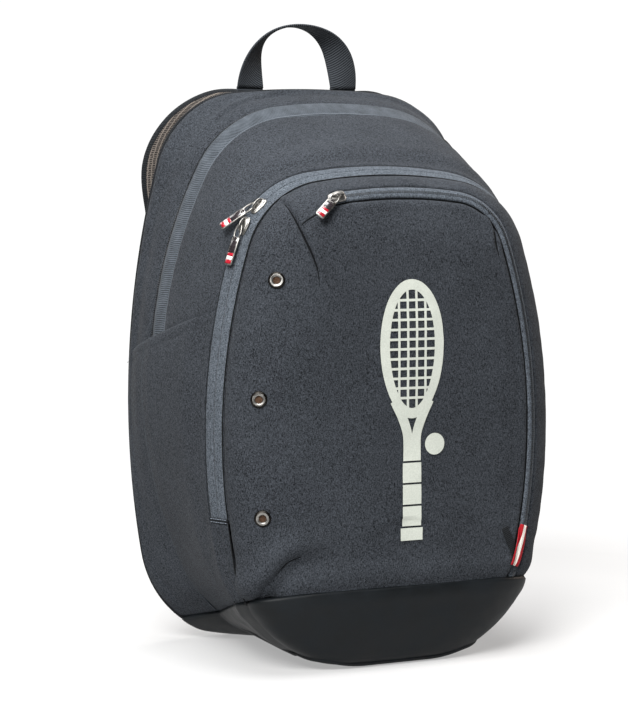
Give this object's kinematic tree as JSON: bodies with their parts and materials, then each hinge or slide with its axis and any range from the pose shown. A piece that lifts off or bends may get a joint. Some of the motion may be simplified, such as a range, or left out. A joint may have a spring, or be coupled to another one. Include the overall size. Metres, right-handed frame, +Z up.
{
  "type": "racket backpack",
  "caption": "Soft racket backpack with a coated boot base, arched zipped main compartment, domed zipped front pocket, side pockets, haul loop and padded shoulder straps.",
  "frame": {"origin": "on the floor, under the middle of the flat base", "axes": "+Z up, +X to the right of someone facing the front, front towards -Y, wearer's side towards +Y"},
  "size_m": [0.359, 0.241, 0.5383],
  "materials": {
    "shell_cloth": "heathered charcoal two-tone plain weave",
    "coated_base": "smooth coated fabric, slight sheen",
    "zip_tape": "ribbed grey zip tape",
    "back_cloth": "dark plain weave",
    "lining": "smooth grey lining",
    "stiffener": "matt board",
    "air_mesh": "open grey-brown spacer mesh",
    "strap_cloth": "padded cloth, mesh lined",
    "webbing": "woven webbing",
    "binding": "elastic hem",
    "eyelet_metal": "gunmetal eyelet",
    "slider_metal": "polished nickel",
    "pull_metal": "polished nickel with dark, red and white enamel",
    "buckle_plastic": "moulded acetal",
    "tag_cloth": "woven ribbon in red and white"
  },
  "bodies": {
    "pack_body": {"boot": "coated_base", "base_board": "stiffener", "back_panel": "back_cloth", "rear_gusset": "shell_cloth", "racket_divider": "lining", "laptop_sleeve": "lining", "main_zip_rear_half": "zip_tape", "strap_yoke": "back_cloth", "haul_loop_feet": "webbing", "left_strap_anchor": "webbing", "right_strap_anchor": "webbing", "left_back_pad": "air_mesh", "right_back_pad": "air_mesh", "lumbar_pad": "air_mesh", "left_pocket_rear": "shell_cloth", "right_pocket_rear": "shell_cloth", "left_binding_rear": "binding", "right_binding_rear": "binding"},
    "main_front": {"main_gusset": "shell_cloth", "main_zip_front_half": "zip_tape", "front_divider": "lining", "organizer_pocket": "lining", "front_zip_rear_half": "zip_tape", "left_side_pocket": "shell_cloth", "right_side_pocket": "shell_cloth", "left_pocket_binding": "binding", "right_pocket_binding": "binding"},
    "front_flap": {"front_zip_front_half": "zip_tape", "front_panel": "shell_cloth", "eyelets": "eyelet_metal", "small_pocket_zip": "zip_tape", "side_tag": "tag_cloth"},
    "haul_handle": {"haul_loop": "webbing"},
    "left_strap": {"left_strap_pad": "strap_cloth", "left_lock_loop": "webbing", "left_ladder_lock": "buckle_plastic", "left_strap_webbing": "webbing"},
    "right_strap": {"right_strap_pad": "strap_cloth", "right_lock_loop": "webbing", "right_ladder_lock": "buckle_plastic", "right_strap_webbing": "webbing"},
    "front_slider_upper_body": {"front_slider_upper": "slider_metal"},
    "front_pull_upper_body": {"front_pull_upper": "pull_metal"},
    "front_slider_lower_body": {"front_slider_lower": "slider_metal"},
    "front_pull_lower_body": {"front_pull_lower": "pull_metal"},
    "pocket_slider_body": {"pocket_slider": "slider_metal"},
    "pocket_pull_body": {"pocket_pull": "pull_metal"},
    "main_slider_upper_body": {"main_slider_upper": "slider_metal"},
    "main_pull_upper_body": {"main_pull_upper": "pull_metal"},
    "main_slider_lower_body": {"main_slider_lower": "slider_metal"},
    "main_pull_lower_body": {"main_pull_lower": "pull_metal"}
  },
  "joints": [
    {"name": "main_open", "type": "hinge", "parent": "pack_body", "child": "main_front", "pos_m": [0, -0.0995, 0.0699], "axis": [1, 0, 0], "range_deg": [0, 12]},
    {"name": "flap_open", "type": "hinge", "parent": "main_front", "child": "front_flap", "pos_m": [0, -0.0995, 0.0699], "axis": [1, 0, 0], "range_deg": [0, 80]},
    {"name": "front_slider_upper_run", "type": "hinge", "parent": "main_front", "child": "front_slider_upper_body", "pos_m": [-0.05392, -0.054, 0.32767], "axis": [0, 1, 0], "range_deg": [0, 38]},
    {"name": "front_slider_lower_run", "type": "hinge", "parent": "main_front", "child": "front_slider_lower_body", "pos_m": [0.3635, -0.054, 0.195], "axis": [0, 1, 0], "range_deg": [-26.5, 0]},
    {"name": "pocket_slider_run", "type": "hinge", "parent": "front_flap", "child": "pocket_slider_body", "pos_m": [0, -0.088, -0.006], "axis": [0, 1, 0], "range_deg": [0, 16.5]},
    {"name": "main_slider_upper_run", "type": "hinge", "parent": "pack_body", "child": "main_slider_upper_body", "pos_m": [0.04107, 0.048, 0.37089], "axis": [0, 1, 0], "range_deg": [-40, 0]},
    {"name": "main_slider_lower_run", "type": "hinge", "parent": "pack_body", "child": "main_slider_lower_body", "pos_m": [-0.227, 0.048, 0.234], "axis": [0, 1, 0], "range_deg": [0, 13.5]},
    {"name": "front_pull_upper_swing", "type": "hinge", "parent": "front_slider_upper_body", "child": "front_pull_upper_body", "pos_m": [-0.11495, -0.05322, 0.38359], "axis": [0.0262, 0.8353, 0.5492], "range_deg": [0, 110]},
    {"name": "front_pull_lower_swing", "type": "hinge", "parent": "front_slider_lower_body", "child": "front_pull_lower_body", "pos_m": [-0.12821, -0.05322, 0.36654], "axis": [-0.3664, 0.9216, 0.1278], "range_deg": [0, 110]},
    {"name": "pocket_pull_swing", "type": "hinge", "parent": "pocket_slider_body", "child": "pocket_pull_body", "pos_m": [-0.05927, -0.09116, 0.39059], "axis": [-0.668, 0.4544, 0.5893], "range_deg": [0, 110]},
    {"name": "main_pull_upper_swing", "type": "hinge", "parent": "main_slider_upper_body", "child": "main_pull_upper_body", "pos_m": [0.11383, 0.051, 0.43639], "axis": [0, -1, 0], "range_deg": [0, 110]},
    {"name": "main_pull_lower_swing", "type": "hinge", "parent": "main_slider_lower_body", "child": "main_pull_lower_body", "pos_m": [0.13598, 0.051, 0.39942], "axis": [0, -1, 0], "range_deg": [0, 110]},
    {"name": "haul_handle_fold", "type": "hinge", "parent": "pack_body", "child": "haul_handle", "pos_m": [-0.008, 0.099, 0.482], "axis": [1, 0, 0], "range_deg": [-60, 60], "stiffness_Nm_per_rad": 0.04},
    {"name": "left_strap_swing", "type": "hinge", "parent": "pack_body", "child": "left_strap", "pos_m": [-0.05, 0.099, 0.452], "axis": [0.1961, -0.005, 0.9806], "range_deg": [-12, 12], "stiffness_Nm_per_rad": 1.2},
    {"name": "right_strap_swing", "type": "hinge", "parent": "pack_body", "child": "right_strap", "pos_m": [0.05, 0.099, 0.452], "axis": [-0.1961, -0.005, 0.9806], "range_deg": [-12, 12], "stiffness_Nm_per_rad": 1.2}
  ]
}
